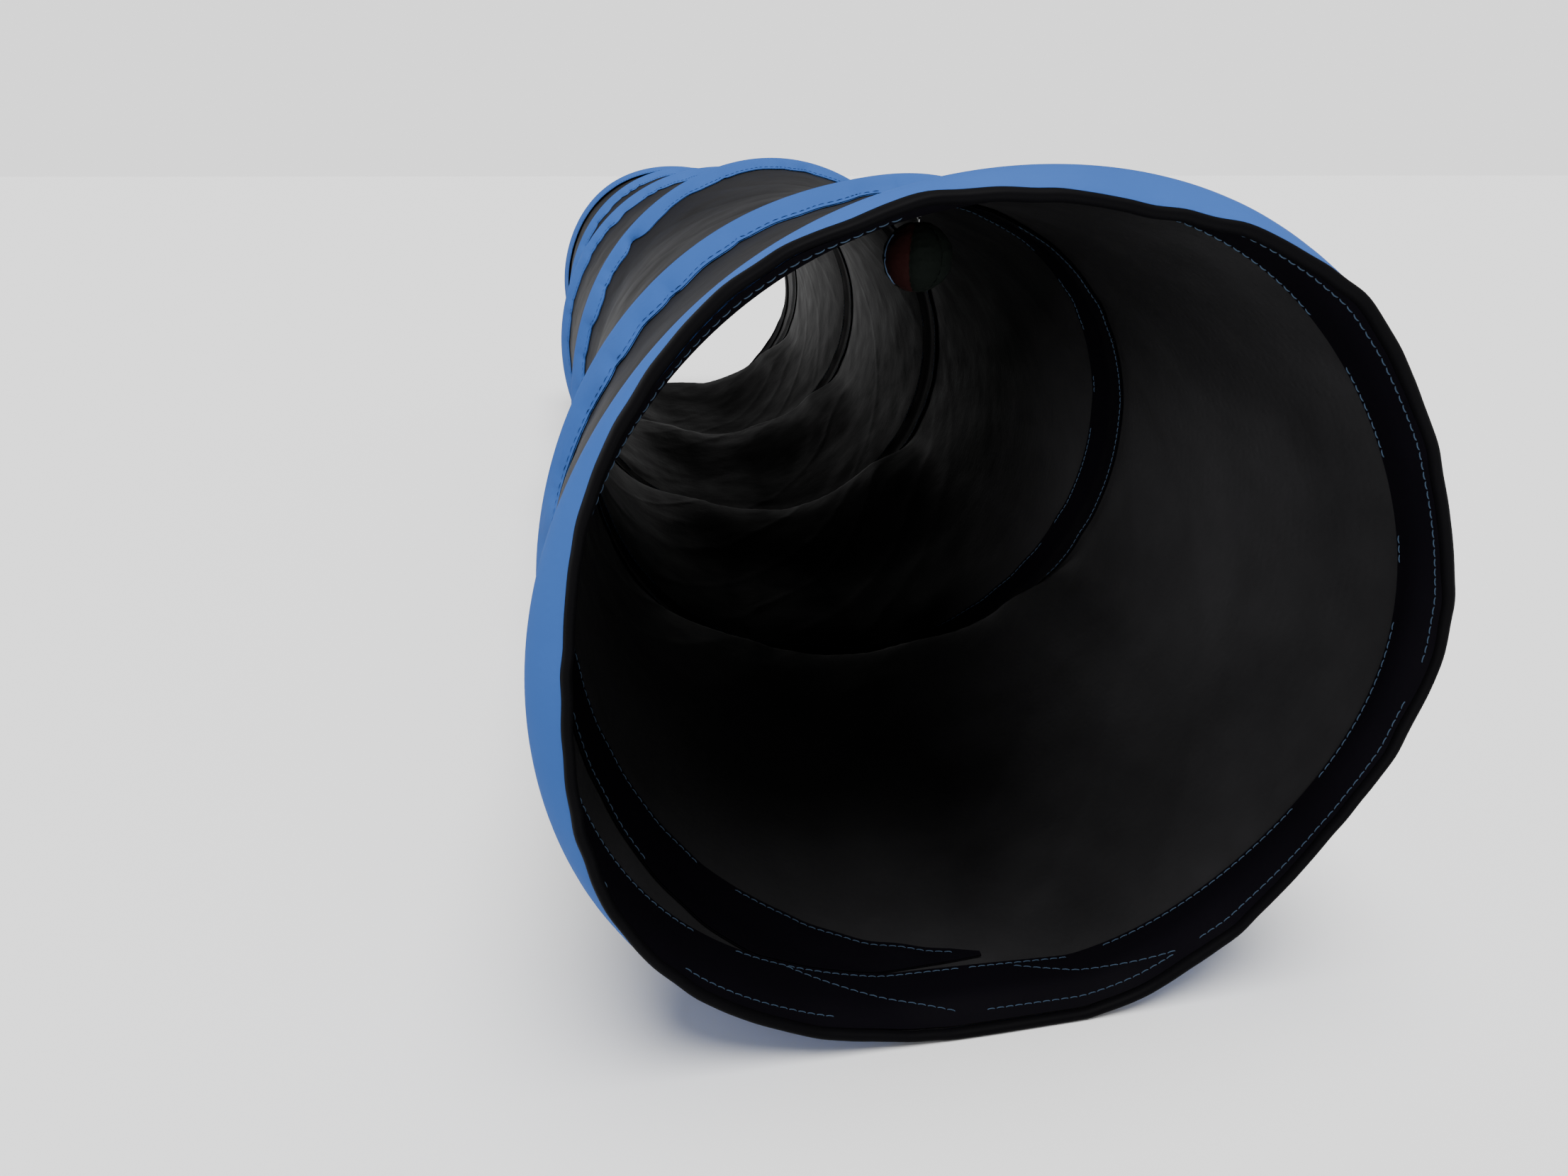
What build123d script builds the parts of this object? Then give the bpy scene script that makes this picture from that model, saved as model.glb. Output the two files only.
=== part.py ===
"""Pop-up agility tunnel for small pets.

A coiled spring wire holds a fabric tube open and folds flat, turn by turn.
Frame: the tunnel's axis runs along +Y, +Z is up, the mouth faces -Y, and the origin is on the
ground under the middle of the tunnel. Inside this file a place on the tunnel is given by
  along   the distance from the mouth,
  radius  the distance from the axis,
  travel  the angle from the bottom, in degrees, clockwise as seen from the mouth.
"""

from build123d import *

import math
import os

# driving dimensions, in millimetres and degrees
LENGTH = 1000.0
TURNS = 4
WIRE_RADIUS = 125.0
WIRE = 2.4
FLAT_HALF_ANGLE = 14.0
FACETS = 56

# the layers, by radius: inner strip, skin, wire, blue sleeve
CLOTH = 0.8
LAYER_GAP = 0.2
SKIN_IN = 122.0
SKIN_OUT = SKIN_IN + CLOTH
STRIP_OUT = SKIN_IN - LAYER_GAP
STRIP_IN = STRIP_OUT - CLOTH
ROOF_IN = WIRE_RADIUS + 2.1
ROOF_OUT = ROOF_IN + CLOTH
SEAM = SKIN_OUT + LAYER_GAP

# the ends: lip, hoop wire and hoop sleeve
LIP = 3.0
EDGE = LIP + LAYER_GAP
HOOP_ALONG = 12.0
HOOP_TO_COIL = 2.8
HOOP_SLEEVE_END = 30.0
FACING_END = 24.0

# the coil and its bands
COIL_START = HOOP_ALONG + HOOP_TO_COIL
PITCH = (LENGTH - 2 * COIL_START) / TURNS
SLEEVE_WIDTH = 30.0
CREST_WIDTH = 5.0
STRIP_WIDTH = 27.0
NOTCH_LENGTH = 24.0
NOTCH_DEPTH = 4.0

# the crimped ferrules
FERRULE_LENGTH = 10.0
FERRULE_HEIGHT = 3.8
FERRULE_X = 14.0
BUTT_GAP = 0.5
CRIMP_CLEARANCE = 0.1

# the toy under the ceiling
TOY_TRAVEL = 185.0
TOY_ALONG = COIL_START + PITCH * TOY_TRAVEL / 360
TOY_X = STRIP_IN * math.sin(math.radians(TOY_TRAVEL - 180))
TAB_TOP = STRIP_IN * math.cos(math.radians(TOY_TRAVEL - 180)) - 0.5
TAB_HEIGHT = 4.2
TAB_DEPTH = 4.0
TAB_WIDTH = 2.0
TAB_CLOTH = 0.6
RING_RADIUS = 2.6
RING_WIRE = 0.9
EYELET_RADIUS = 1.5
BALL_RADIUS = 12.5
STEM_LENGTH = 5.0
HANG = 0.2
RING_LIFT = 0.5

# the two closing straps at the far end
STRAP_TRAVELS = (245.0, 293.0)
STRAP_WIDTH = 12.0
STRAP_LENGTH = 100.0
STRAP_CLOTH = 1.0
STRAP_SETBACK = 9.0
STRAP_GAP = 0.4
HOOK_PAD = 24.0

AXIS_HEIGHT = ROOF_OUT * math.cos(math.radians(FLAT_HALF_ANGLE))


def place(along, radius, travel):
    """The point of the tunnel's frame at this place, with the bottom pressed flat."""
    turned = travel % 360
    from_bottom = min(turned, 360 - turned)
    if from_bottom < FLAT_HALF_ANGLE:
        flat, off = math.radians(FLAT_HALF_ANGLE), math.radians(from_bottom)
        radius *= math.cos(flat) / math.cos(off)
    angle = math.radians(turned)
    return Vector(
        -radius * math.sin(angle),
        along - LENGTH / 2,
        AXIS_HEIGHT - radius * math.cos(angle),
    )


def tangent_plane(point):
    """A plane at the point whose X runs along the tunnel and whose Z points away from the axis."""
    outward = point - Vector(0, point.Y, AXIS_HEIGHT)
    return Plane(origin=point, x_dir=(0, 1, 0), z_dir=outward)


def rim_travels():
    """The angles of one turn's corners, from the middle of the flat round to its end."""
    step = (360 - 2 * FLAT_HALF_ANGLE) / FACETS
    return [FLAT_HALF_ANGLE + step * k for k in range(FACETS + 1)]


def polygon(points):
    return Face(Wire.make_polygon(points, close=True))


def band(section, start=0.0, pitch=0.0):
    """One turn of a cloth band. The section is a closed list of (along, radius)."""
    travels = [0.0, *rim_travels(), 360.0]
    rings = [
        [place(start + pitch * travel / 360 + along, radius, travel) for along, radius in section]
        for travel in travels
    ]
    faces = []
    for near, far in zip(rings, rings[1:]):
        for k, (_, radius) in enumerate(section):
            after = (k + 1) % len(section)
            level = abs(section[after][1] - radius) < 1e-9
            if pitch == 0 or level:
                faces.append(polygon([near[k], near[after], far[after], far[k]]))
            else:
                faces.append(polygon([near[k], near[after], far[after]]))
                faces.append(polygon([near[k], far[after], far[k]]))
    if pitch:
        faces += [polygon(rings[0]), polygon(rings[-1])]
    solid = Solid(Shell(faces))
    return solid if solid.volume > 0 else Solid(Shell([-face for face in faces]))


def between(solid, low, high):
    """The part of the solid whose along is from low to high."""
    reach = 2 * LENGTH
    slab = Box(reach, high - low, reach).move(Location((0, (low + high) / 2 - LENGTH / 2, 0)))
    return solid & slab


def ring_section(start, end, inner, outer):
    return [(start, inner), (end, inner), (end, outer), (start, outer)]


def rod(points, diameter):
    """A round rod along straight runs that are joined by the largest tangent arcs."""
    edges, last = [], points[0]
    for before, corner, after in zip(points, points[1:], points[2:]):
        reach = 0.45 * min((corner - before).length, (after - corner).length)
        way_in, way_out = (corner - before).normalized(), (after - corner).normalized()
        start, end = corner - way_in * reach, corner + way_out * reach
        edges.append(Edge.make_line(last, start))
        edges.append(Edge.make_tangent_arc(start, way_in, end))
        last = end
    edges.append(Edge.make_line(last, points[-1]))
    first_way = (points[1] - points[0]).normalized()
    end_face = Plane(origin=points[0], z_dir=first_way) * Circle(diameter / 2)
    return sweep(end_face, path=Wire(edges))


def on_flat(along, x):
    """A point of a wire's centre line on the flattened bottom."""
    middle = place(along, WIRE_RADIUS, 0)
    return Vector(x, middle.Y, middle.Z)


def hoop_wire():
    """The closed end hoop. Its two ends meet inside the ferrule."""
    first = on_flat(HOOP_ALONG, FERRULE_X - BUTT_GAP / 2)
    last = on_flat(HOOP_ALONG, FERRULE_X + BUTT_GAP / 2)
    around = [place(HOOP_ALONG, WIRE_RADIUS, travel) for travel in rim_travels()]
    return rod([first, *around, last], WIRE)


def wire_turn(turn):
    """One turn of the coil. The first and last have a straight tail for the ferrule."""
    start = COIL_START + PITCH * turn
    points = [
        place(start + PITCH * travel / 360, WIRE_RADIUS, travel)
        for travel in [0.0, *rim_travels(), 360.0]
    ]
    tail = FERRULE_X + FERRULE_LENGTH / 2
    if turn == 0:
        points.insert(0, on_flat(start, tail))
    if turn == TURNS - 1:
        points.append(on_flat(start + PITCH, -tail))
    return rod(points, WIRE)


def ferrule():
    """A crimped oval tube round the hoop wire's ends and the coil's tail."""
    opening = WIRE + CRIMP_CLEARANCE
    oval = SlotCenterToCenter(HOOP_TO_COIL, FERRULE_HEIGHT)
    oval -= SlotCenterToCenter(HOOP_TO_COIL, opening)
    middle = on_flat(HOOP_ALONG + HOOP_TO_COIL / 2, FERRULE_X - FERRULE_LENGTH / 2)
    return extrude(Plane(origin=middle, x_dir=(0, 1, 0), z_dir=(1, 0, 0)) * oval, FERRULE_LENGTH)


def hoop_sleeve():
    """The blue channel over an end hoop, with a gap in its inner edge where the coil leaves."""
    wall = HOOP_SLEEVE_END - CLOTH
    section = [
        (EDGE, SEAM),
        (EDGE + 4, ROOF_OUT),
        (HOOP_SLEEVE_END, ROOF_OUT),
        (HOOP_SLEEVE_END, SEAM),
        (wall, SEAM),
        (wall, ROOF_IN),
        (EDGE + 4.5, ROOF_IN),
        (EDGE + 1.2, SEAM),
    ]
    leaving = 360 * (wall - COIL_START) / PITCH
    gap = place(wall, (SEAM + ROOF_IN) / 2, leaving)
    notch = tangent_plane(gap) * Box(NOTCH_DEPTH, NOTCH_LENGTH, ROOF_IN - SEAM - LAYER_GAP)
    return band(section) - notch


def coil_sleeve(turn):
    """One turn of the blue channel over the coil, a low tent seamed along both edges."""
    half, crest = SLEEVE_WIDTH / 2, CREST_WIDTH / 2
    section = [
        (-half, SEAM),
        (-crest, ROOF_OUT),
        (crest, ROOF_OUT),
        (half, SEAM),
        (half - 3, SEAM),
        (crest - 0.4, ROOF_IN),
        (0.4 - crest, ROOF_IN),
        (3 - half, SEAM),
    ]
    return clear_of_hoops(section, turn, HOOP_SLEEVE_END + LAYER_GAP)


def inner_strip(turn):
    """One turn of the dark tape that covers the seam inside the tunnel."""
    half = STRIP_WIDTH / 2
    return clear_of_hoops(
        ring_section(-half, half, STRIP_IN, STRIP_OUT), turn, FACING_END + LAYER_GAP
    )


def clear_of_hoops(section, turn, margin):
    """One turn of a band along the coil, cut back where it meets an end hoop's own band."""
    solid = band(section, COIL_START + PITCH * turn, PITCH)
    if turn == 0:
        return between(solid, margin, LENGTH)
    if turn == TURNS - 1:
        return between(solid, 0, LENGTH - margin)
    return solid


def skin_turn(turn):
    """One turn's length of the black skin."""
    start = COIL_START + PITCH * turn
    return band(ring_section(start, start + PITCH, SKIN_IN, SKIN_OUT))


def toy_point(depth):
    """A point of the toy's upright line, this far above the tunnel's axis."""
    return Vector(TOY_X, TOY_ALONG - LENGTH / 2, AXIS_HEIGHT + depth)


# how far each piece of the toy is above the axis
LOOP_INSIDE = TAB_TOP - TAB_HEIGHT + TAB_CLOTH
RING_CENTRE = LOOP_INSIDE + RING_WIRE / 2 + RING_LIFT - RING_RADIUS
EYELET_CENTRE = RING_CENTRE - RING_RADIUS - (EYELET_RADIUS - RING_WIRE - HANG)
BALL_CENTRE = EYELET_CENTRE - EYELET_RADIUS - RING_WIRE / 2 - HANG - BALL_RADIUS


def toy_tab():
    """A flat tape loop sewn under the seam tape."""
    loop = RectangleRounded(TAB_DEPTH, TAB_HEIGHT, 1.4)
    loop -= RectangleRounded(TAB_DEPTH - 2 * TAB_CLOTH, TAB_HEIGHT - 2 * TAB_CLOTH, 0.8)
    middle = toy_point(TAB_TOP - TAB_HEIGHT / 2)
    plane = Plane(origin=middle, x_dir=(0, 1, 0), z_dir=(1, 0, 0))
    return extrude(plane * loop, TAB_WIDTH / 2, both=True)


def toy_ring():
    plane = Plane(origin=toy_point(RING_CENTRE), x_dir=(1, 0, 0), z_dir=(0, 1, 0))
    return plane * Torus(RING_RADIUS, RING_WIRE / 2)


def toy_eyelet():
    plane = Plane(origin=toy_point(EYELET_CENTRE), x_dir=(0, 1, 0), z_dir=(1, 0, 0))
    eye = plane * Torus(EYELET_RADIUS, RING_WIRE / 2)
    top = toy_point(EYELET_CENTRE - EYELET_RADIUS)
    stem = Plane(origin=top, z_dir=(0, 0, -1)) * extrude(Circle(RING_WIRE / 2), STEM_LENGTH)
    return eye + stem


def toy_ball():
    """A solid ball, bored for the eyelet's stem."""
    ball = Location(toy_point(BALL_CENTRE)) * Sphere(BALL_RADIUS)
    bore_top = toy_point(BALL_CENTRE + BALL_RADIUS + 1)
    bore = Plane(origin=bore_top, z_dir=(0, 0, -1)) * extrude(Circle(0.7), STEM_LENGTH + 1)
    return ball - bore


def closing_strap(travel, start, length, radius, thickness):
    """A flat tape that lies along the tunnel on top of the far hoop's sleeve."""
    middle = place(start - length / 2, radius + thickness / 2, travel)
    return tangent_plane(middle) * Box(length, STRAP_WIDTH, thickness)


def far_end(solid):
    """The far end's copy of a piece of the mouth: half a turn about the upright axis."""
    return solid.rotate(Axis.Z, 180)


def build():
    ends = {
        "hoop_wire": hoop_wire(),
        "ferrule": ferrule(),
        "hoop_sleeve": hoop_sleeve(),
        "lip_binding": band(ring_section(0, LIP, STRIP_IN, SEAM + CLOTH)),
        "facing": band(ring_section(EDGE, FACING_END, STRIP_IN, STRIP_OUT)),
        "cuff": band(ring_section(EDGE, COIL_START, SKIN_IN, SKIN_OUT)),
    }
    pieces = {f"front_{name}": solid for name, solid in ends.items()}
    pieces |= {f"rear_{name}": far_end(solid) for name, solid in ends.items()}
    for turn in range(TURNS):
        pieces[f"skin_turn_{turn + 1}"] = skin_turn(turn)
        pieces[f"wire_turn_{turn + 1}"] = wire_turn(turn)
        pieces[f"sleeve_turn_{turn + 1}"] = coil_sleeve(turn)
        pieces[f"inner_strip_turn_{turn + 1}"] = inner_strip(turn)
    pieces["toy_tab"] = toy_tab()
    pieces["toy_ring"] = toy_ring()
    pieces["toy_eyelet"] = toy_eyelet()
    pieces["toy_ball"] = toy_ball()
    strap_start, strap_in = LENGTH - STRAP_SETBACK, ROOF_OUT + STRAP_GAP
    for number, travel in enumerate(STRAP_TRAVELS, 1):
        pieces[f"closing_strap_{number}"] = closing_strap(
            travel, strap_start, STRAP_LENGTH, strap_in, STRAP_CLOTH
        )
        pieces[f"strap_hook_pad_{number}"] = closing_strap(
            travel, strap_start - STRAP_LENGTH + HOOK_PAD, HOOK_PAD, strap_in + STRAP_CLOTH, STRAP_CLOTH
        )
    return pieces


os.makedirs("parts", exist_ok=True)
for name, solid in build().items():
    export_step(solid, f"parts/{name}.step")
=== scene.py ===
"""The looks of a pop-up agility tunnel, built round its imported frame.

A place on the tunnel is (travel, along, radius): travel is the angle from the bottom in degrees,
clockwise as seen from the mouth, along is the distance from the mouth, and radius the distance from
the axis. Travel runs on past 360 along the coil. Lengths are in metres.
"""

import math

import bpy
import numpy as np
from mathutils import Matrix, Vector


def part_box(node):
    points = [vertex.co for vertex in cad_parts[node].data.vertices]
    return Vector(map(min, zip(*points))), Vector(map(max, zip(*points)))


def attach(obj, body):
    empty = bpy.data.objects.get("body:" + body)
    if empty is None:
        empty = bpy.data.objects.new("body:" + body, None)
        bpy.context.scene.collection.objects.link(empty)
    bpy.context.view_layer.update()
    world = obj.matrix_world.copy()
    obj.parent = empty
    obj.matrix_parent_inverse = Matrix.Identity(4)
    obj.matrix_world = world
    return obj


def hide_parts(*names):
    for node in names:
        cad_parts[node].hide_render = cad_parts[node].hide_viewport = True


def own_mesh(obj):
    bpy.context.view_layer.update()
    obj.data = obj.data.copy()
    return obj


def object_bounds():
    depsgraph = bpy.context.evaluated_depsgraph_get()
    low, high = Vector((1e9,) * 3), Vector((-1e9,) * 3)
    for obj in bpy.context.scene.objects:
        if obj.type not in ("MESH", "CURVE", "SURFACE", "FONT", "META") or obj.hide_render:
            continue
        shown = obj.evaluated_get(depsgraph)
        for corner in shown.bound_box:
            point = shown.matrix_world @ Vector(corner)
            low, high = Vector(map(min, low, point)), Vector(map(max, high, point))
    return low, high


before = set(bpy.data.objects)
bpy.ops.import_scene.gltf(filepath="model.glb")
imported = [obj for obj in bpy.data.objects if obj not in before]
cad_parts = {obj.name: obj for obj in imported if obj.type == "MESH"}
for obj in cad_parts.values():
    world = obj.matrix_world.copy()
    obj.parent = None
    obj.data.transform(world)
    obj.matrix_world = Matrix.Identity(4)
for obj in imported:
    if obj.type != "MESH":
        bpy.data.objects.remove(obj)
cad_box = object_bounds()

# ---------------------------------------------------------------- sizes read from the frame
MM = 0.001
TAPE_INSET = 0.8 * MM
hoop_lo, hoop_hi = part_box("front_hoop_wire")
roof_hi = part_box("front_hoop_sleeve")[1]
skin_lo, skin_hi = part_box("skin_turn_2")
facing_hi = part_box("front_facing")[1]
ferrule_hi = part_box("front_ferrule")[1]
ball_lo, ball_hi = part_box("toy_ball")
tab_lo, tab_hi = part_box("toy_tab")

MOUTH = cad_box[0].y
LENGTH = cad_box[1].y - MOUTH
TURNS = 4
PITCH = skin_hi.y - skin_lo.y
COIL_START = skin_lo.y - PITCH - MOUTH
WIRE = hoop_hi.y - hoop_lo.y
WIRE_RADIUS = hoop_hi.x - WIRE / 2
HOOP = (hoop_lo.y + hoop_hi.y) / 2 - MOUTH
AXIS = hoop_hi.z - hoop_hi.x
ROOF = roof_hi.x
HOOP_SLEEVE_END = roof_hi.y - MOUTH
SKIN = skin_hi.x
FACING_END = facing_hi.y - MOUTH
TAPE = facing_hi.x - TAPE_INSET
FLAT = AXIS / ROOF

# cloth: thicknesses, half widths, how far each side of a seam holds the skin and how far from there it falls
# free, how far the skin necks in, how far its slack stands up off the floor and where round the tunnel, and
# the mesh steps in a turn
CLOTH = 0.45 * MM
TAPE_CLOTH = 0.6 * MM
SLEEVE_HALF = 15 * MM
TAPE_HALF = 13.5 * MM
SEAM_HOLD = 11 * MM
SEAM_EASE = 24 * MM
NECK = 6.0 * MM
SLACK = 15 * MM
SLACK_TRAVEL = 352
STEPS = 400


# ---------------------------------------------------------------- the tunnel's own coordinates
def smooth(x):
    """An ease from 0 to 1, flat outside."""
    x = np.clip(x, 0, 1)
    return x * x * (3 - 2 * x)


def wavy(travel, waves):
    """A closed curve's height in metres, from the (millimetres, phase) of its 1st, 2nd, ... wave."""
    numbered = enumerate(waves, 1)
    return sum(MM * size * np.cos(np.radians(k * travel - phase)) for k, (size, phase) in numbered)


# a sprung hoop is never quite round: one to six waves round the rim
HOOP_SWELL = 1.1 * MM
HOOP_WAVES = ((1.8, -24), (1.8, 132), (1.2, 174), (0.5, -107), (0.8, -88), (0.5, -137))
LIP_RADIUS = 126.4 * MM
LIP_WAVES = (
    (2.8, -47), (0.5, 178), (2.1, 97), (1.8, -144), (1.3, -75), (0.9, -130), (0.5, 101), (0.3, -16),
)
BENT_REACH = 90 * MM
FAR_BEND, FAR_TURN = 0.6, 130

# how sharply the round of a hoop turns into the flat that it stands on
PRESS = 1 / (0.4 * MM)

# places where the coil stands in or out: travel, along, half size in degrees and in metres, height
DENTS = (
    (138, 0.012, 30, 0.030, 1.7 * MM),
    (110, 0.046, 26, 0.024, 4.2 * MM),
    (180, 0.136, 38, 0.055, -5.0 * MM),
    (186, 0.140, 15, 0.028, 2.2 * MM),
    (90, 0.318, 40, 0.070, -9.0 * MM),
    (180, 0.379, 34, 0.060, 4.6 * MM),
    (270, 0.440, 50, 0.080, -3.0 * MM),
    (225, 0.650, 45, 0.090, 3.0 * MM),
    (100, 0.800, 45, 0.080, -4.0 * MM),
    (135, 1.000, 60, 0.150, 4.7 * MM),
)


def angle_from(travel, middle):
    """The angle from the middle round to this travel, from -180 to 180."""
    return (travel - middle + 180) % 360 - 180


def hill(travel, middle, half):
    """A smooth hill, 1 high, at this travel and about this many degrees to each side."""
    return np.exp(-((angle_from(travel, middle) / half) ** 2))


def warp(travel, along):
    """How far out of round the tunnel is here."""
    mouth = smooth(1 - (along - HOOP) / BENT_REACH)
    far = smooth(1 - (LENGTH - HOOP - along) / BENT_REACH)
    near_bend = (HOOP_SWELL + wavy(travel, HOOP_WAVES)) * mouth
    height = near_bend + FAR_BEND * wavy(travel + FAR_TURN, HOOP_WAVES) * far
    for middle, depth, wide, long, size in DENTS:
        off = (angle_from(travel, middle) / wide) ** 2 + ((along - depth) / long) ** 2
        height = height + size * np.exp(-off)
    return height


def place(travel, along, radius, rests):
    """Points in the row frame, as an array (..., 3). Rests is the radius whose flat the place lies on."""
    near = np.clip(np.abs(angle_from(travel, 0)), 0, 60)
    flat = rests * FLAT / np.cos(np.radians(near))
    pressed = -np.logaddexp(-PRESS * radius, -PRESS * flat) / PRESS
    angle = np.radians(travel)
    x, z = -pressed * np.sin(angle), AXIS - pressed * np.cos(angle)
    return np.stack(np.broadcast_arrays(x, along + MOUTH, z), axis=-1)


def coil_along(travel):
    """How far along the tunnel the coil's seam is at this travel."""
    return COIL_START + PITCH * travel / 360


def lattice(u, v, around, seed):
    """Smooth noise from -1 to 1 that repeats every `around` cells of u. The seed picks the pattern."""
    rng = np.random.default_rng(seed)
    grid = rng.uniform(-1, 1, (around, 256))
    iu, iv = np.floor(u).astype(int), np.floor(v).astype(int)
    fu, fv = smooth(u - iu), smooth(v - iv)
    a = grid[iu % around, iv % 256] * (1 - fu) + grid[(iu + 1) % around, iv % 256] * fu
    b = grid[iu % around, (iv + 1) % 256] * (1 - fu) + grid[(iu + 1) % around, (iv + 1) % 256] * fu
    return a * (1 - fv) + b * fv


def noise(travel, along, size_around, size_along, seed, turns=1):
    """Noise with cells of about this size. It repeats after this many turns of travel."""
    around = max(3, round(2 * math.pi * WIRE_RADIUS * turns / size_around))
    return lattice(travel / (360 * turns) * around, along / size_along + 7.3 * seed, around, seed)


def ruffle(travel, seed):
    """The wander of a sewn edge along the coil: uneven scallops that meet in cusps."""
    long = noise(travel, 0.0, 40 * MM, 1, seed, TURNS)
    short = noise(travel, 0.0, 13 * MM, 1, seed + 1, TURNS)
    scallops = np.abs(noise(travel, 0.0, 9 * MM, 1, seed + 2, TURNS)) ** 0.7
    return 0.6 * long + 0.3 * short + 2.0 * (scallops - 0.6)


def seams(travel, along):
    """The distances to the seam before and the seam after each point."""
    before = np.full(np.broadcast(travel, along).shape, HOOP)
    after = np.full_like(before, LENGTH - HOOP)
    for turn in range(-1, TURNS + 1):
        seam = np.clip(coil_along(travel + 360 * turn), HOOP, LENGTH - HOOP)
        before = np.where(seam <= along, np.maximum(before, seam), before)
        after = np.where(seam > along, np.minimum(after, seam), after)
    return np.abs(along - before), np.abs(after - along)


def slack_share(travel, along, gap, after):
    """Where the skin's slack stands up off the floor in front of a seam, from 0 to about 1."""
    off = angle_from(travel, SLACK_TRAVEL)
    low = smooth((off + 62) / 20) * smooth((62 - off) / 40)
    share = low * smooth((gap / PITCH - 0.45) / 0.3) * smooth((after - 9 * MM) / (16 * MM))
    share = share * smooth(1 - (after - 25 * MM) / (130 * MM))
    return share * (1 + 0.25 * noise(travel, along, 50 * MM, 200 * MM, 9))


def skin_radius(travel, along):
    """The skin between the coil's turns: it necks in, gathers at the seams and falls in soft folds."""
    before, after = seams(travel, along)
    gap = before + after
    share = before / np.maximum(gap, 1e-6)
    span = np.clip(gap / PITCH, 0, 1)
    neck = NECK * span**1.4 * (4 * share * (1 - share)) ** 0.9
    slack = SLACK * slack_share(travel, along, gap, after)
    edge = np.minimum(before, after) - SEAM_HOLD
    free = smooth(edge / SEAM_EASE)
    lean = travel - 60 * (along / PITCH)
    folds = noise(lean, along, 70 * MM, 130 * MM, 1) * 1.5 + noise(lean, along, 27 * MM, 70 * MM, 2) * 0.45
    pull = noise(travel + 150 * along / PITCH, along, 60 * MM, 240 * MM, 6)
    pulls = (1 - np.abs(pull) * 2.5).clip(0, 1) ** 2
    gather = np.exp(-np.clip(edge, 0, 1) / (14 * MM)) * np.clip((edge + 4 * MM) / (4 * MM), 0, 1)
    puckers = noise(travel, 0.0 * along, 10 * MM, 60 * MM, 3) * 0.5
    crease = noise(travel, along, 9 * MM, 30 * MM, 4) * 0.22 + noise(travel, along, 30 * MM, 11 * MM, 5) * 0.1
    small = folds * free * span - 0.4 * pulls * free * span + puckers * gather + crease * free
    return SKIN - neck - slack + MM * small


def skin_place(travel, along):
    """A place on the skin."""
    base = skin_radius(travel, along)
    return place(travel, along, base + warp(travel, along), base)


# ---------------------------------------------------------------- meshes
def new_object(name, points, faces, used, flat_faces=0):
    """A smooth mesh whose last flat_faces faces are flat."""
    mesh = bpy.data.meshes.new(name)
    mesh.from_pydata(points.reshape(-1, 3).tolist(), [], faces)
    mesh.materials.append(used)
    count = len(faces)
    mesh.polygons.foreach_set("use_smooth", [k < count - flat_faces for k in range(count)])
    piece = bpy.data.objects.new(name, mesh)
    bpy.context.scene.collection.objects.link(piece)
    return piece


def grid_faces(rows, columns, closed_rows=False, closed_columns=False, start=0, turned=False):
    """Quads over a grid of points, whose rows or columns may close on themselves."""
    faces = []
    for i in range(rows if closed_rows else rows - 1):
        for j in range(columns if closed_columns else columns - 1):
            i2, j2 = (i + 1) % rows, (j + 1) % columns
            quad = (i * columns + j, i * columns + j2, i2 * columns + j2, i2 * columns + j)
            quad = quad[::-1] if turned else quad
            faces.append(tuple(start + k for k in quad))
    return faces


def shell(name, points, used, closed=False, thickness=CLOTH):
    """A cloth over a grid of points, rows going round and columns across.

    The outermost rows and columns only bend the shading, so that neighbouring cloths meet smoothly.
    """
    down, over = np.gradient(points, axis=0), np.gradient(points, axis=1)
    normals = np.cross(down, over)
    normals /= np.linalg.norm(normals, axis=-1, keepdims=True)
    middle, normals = points[1:-1, 1:-1], normals[1:-1, 1:-1]
    rows, columns = middle.shape[:2]
    count = rows * columns
    both = np.stack([middle + normals * thickness / 2, middle - normals * thickness / 2])
    faces = grid_faces(rows, columns, closed, turned=True)
    faces += grid_faces(rows, columns, closed, start=count)
    index = np.arange(count).reshape(rows, columns)
    rims = []
    edges = [(index[:, 0], False), (index[:, -1], True)]
    if not closed:
        edges += [(index[0], True), (index[-1], False)]
    for edge, turned in edges:
        edge = np.append(edge, edge[0]) if closed else edge
        for a, b in zip(edge, edge[1:]):
            quad = (int(a), int(b), int(b) + count, int(a) + count)
            rims.append(quad[::-1] if turned else quad)
    piece = new_object(name, both, faces + rims, used, len(rims))
    piece.data.normals_split_custom_set_from_vertices(
        np.concatenate([normals.reshape(-1, 3), -normals.reshape(-1, 3)]).tolist()
    )
    return piece


TUBE_SIDES = 8


def tube(name, path, size, used, closed=False):
    """A wire or piping along a path of points."""
    sides = TUBE_SIDES
    way = np.gradient(np.concatenate([path[-1:], path, path[:1]]) if closed else path, axis=0)
    way = way[1:-1] if closed else way
    way /= np.linalg.norm(way, axis=1, keepdims=True)
    out = path - np.array([0, 0, AXIS])
    out[:, 1] = 0
    side = np.cross(way, out)
    side /= np.linalg.norm(side, axis=1, keepdims=True)
    up = np.cross(side, way)
    turns = np.linspace(0, 2 * math.pi, sides, endpoint=False)
    ring = np.cos(turns)[None, :, None] * side[:, None] + np.sin(turns)[None, :, None] * up[:, None]
    points = path[:, None] + ring * size / 2
    faces = grid_faces(len(path), sides, closed, True)
    if not closed:
        last = (len(path) - 1) * sides
        faces += [tuple(range(sides)), tuple(last + k for k in reversed(range(sides)))]
    return new_object(name, points, faces, used, 0 if closed else 2)


STITCH = 2.6 * MM
STITCH_PITCH = 3.1 * MM
THREAD_SIZE = 0.36 * MM


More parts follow.
